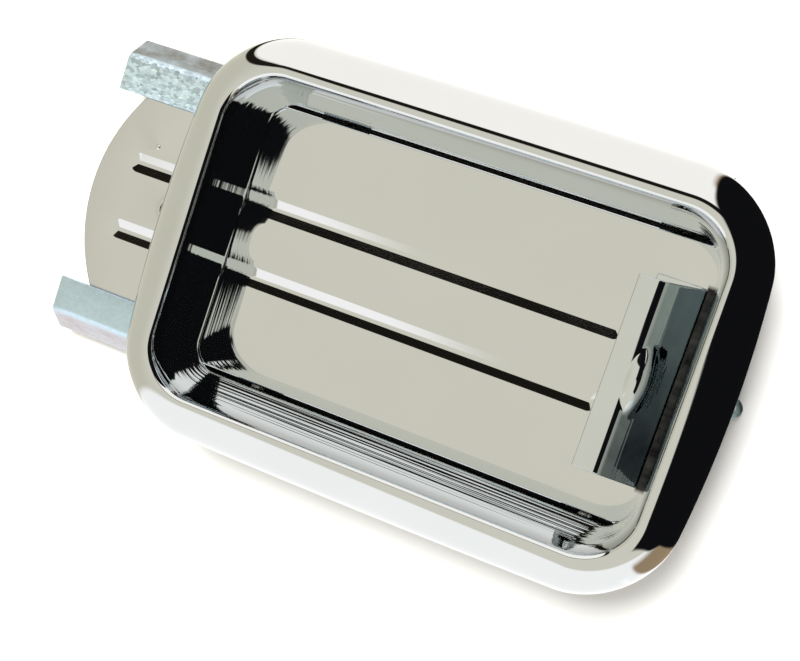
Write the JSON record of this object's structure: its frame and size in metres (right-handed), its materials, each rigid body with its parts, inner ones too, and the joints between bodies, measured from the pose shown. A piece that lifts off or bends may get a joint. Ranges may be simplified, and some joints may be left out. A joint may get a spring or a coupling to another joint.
{
  "type": "sliding car door handle",
  "caption": "Recessed sliding inside door release: a chromed bezel around a grooved sliding floor with a finger grip, on zinc rails, sprung back to rest.",
  "frame": {"origin": "middle of the bezel's back rim, in the plane of the trim panel", "axes": "+X along the slide towards the finger grip, +Y across the handle, +Z out of the door face"},
  "size_m": [0.1601, 0.0922, 0.0334],
  "materials": {
    "bright_chrome": "polished chrome plate",
    "zinc_plate": "clear zinc plate, faintly iridescent",
    "nylon": "natural nylon",
    "bumper_rubber": "black rubber",
    "fastener_steel": "bright steel",
    "spring_steel": "drawn spring wire"
  },
  "bodies": {
    "housing": {"bezel": "bright_chrome", "upper_rail": "zinc_plate", "lower_rail": "zinc_plate", "left_bridge": "zinc_plate", "right_bridge": "zinc_plate", "upper_liner": "nylon", "lower_liner": "nylon", "rest_bumper": "bumper_rubber", "travel_bumper": "bumper_rubber", "bridge_screw_1": "fastener_steel", "bridge_screw_2": "fastener_steel", "bridge_screw_3": "fastener_steel", "bridge_screw_4": "fastener_steel", "rail_rivet_1": "fastener_steel", "rail_rivet_2": "fastener_steel", "rail_rivet_3": "fastener_steel", "rail_rivet_4": "fastener_steel", "return_spring": "spring_steel"},
    "slide": {"slide_plate": "bright_chrome", "finger_grip": "bright_chrome", "stop_tab": "zinc_plate", "grip_rivet_1": "fastener_steel", "grip_rivet_2": "fastener_steel", "grip_rivet_3": "fastener_steel"}
  },
  "joints": [
    {"name": "handle_slide", "type": "slide", "parent": "housing", "child": "slide", "axis": [-1, 0, 0], "range_m": [0, 0.011], "stiffness_N_per_m": 400, "springref_m": -0.01, "deforming": ["return_spring"]}
  ]
}
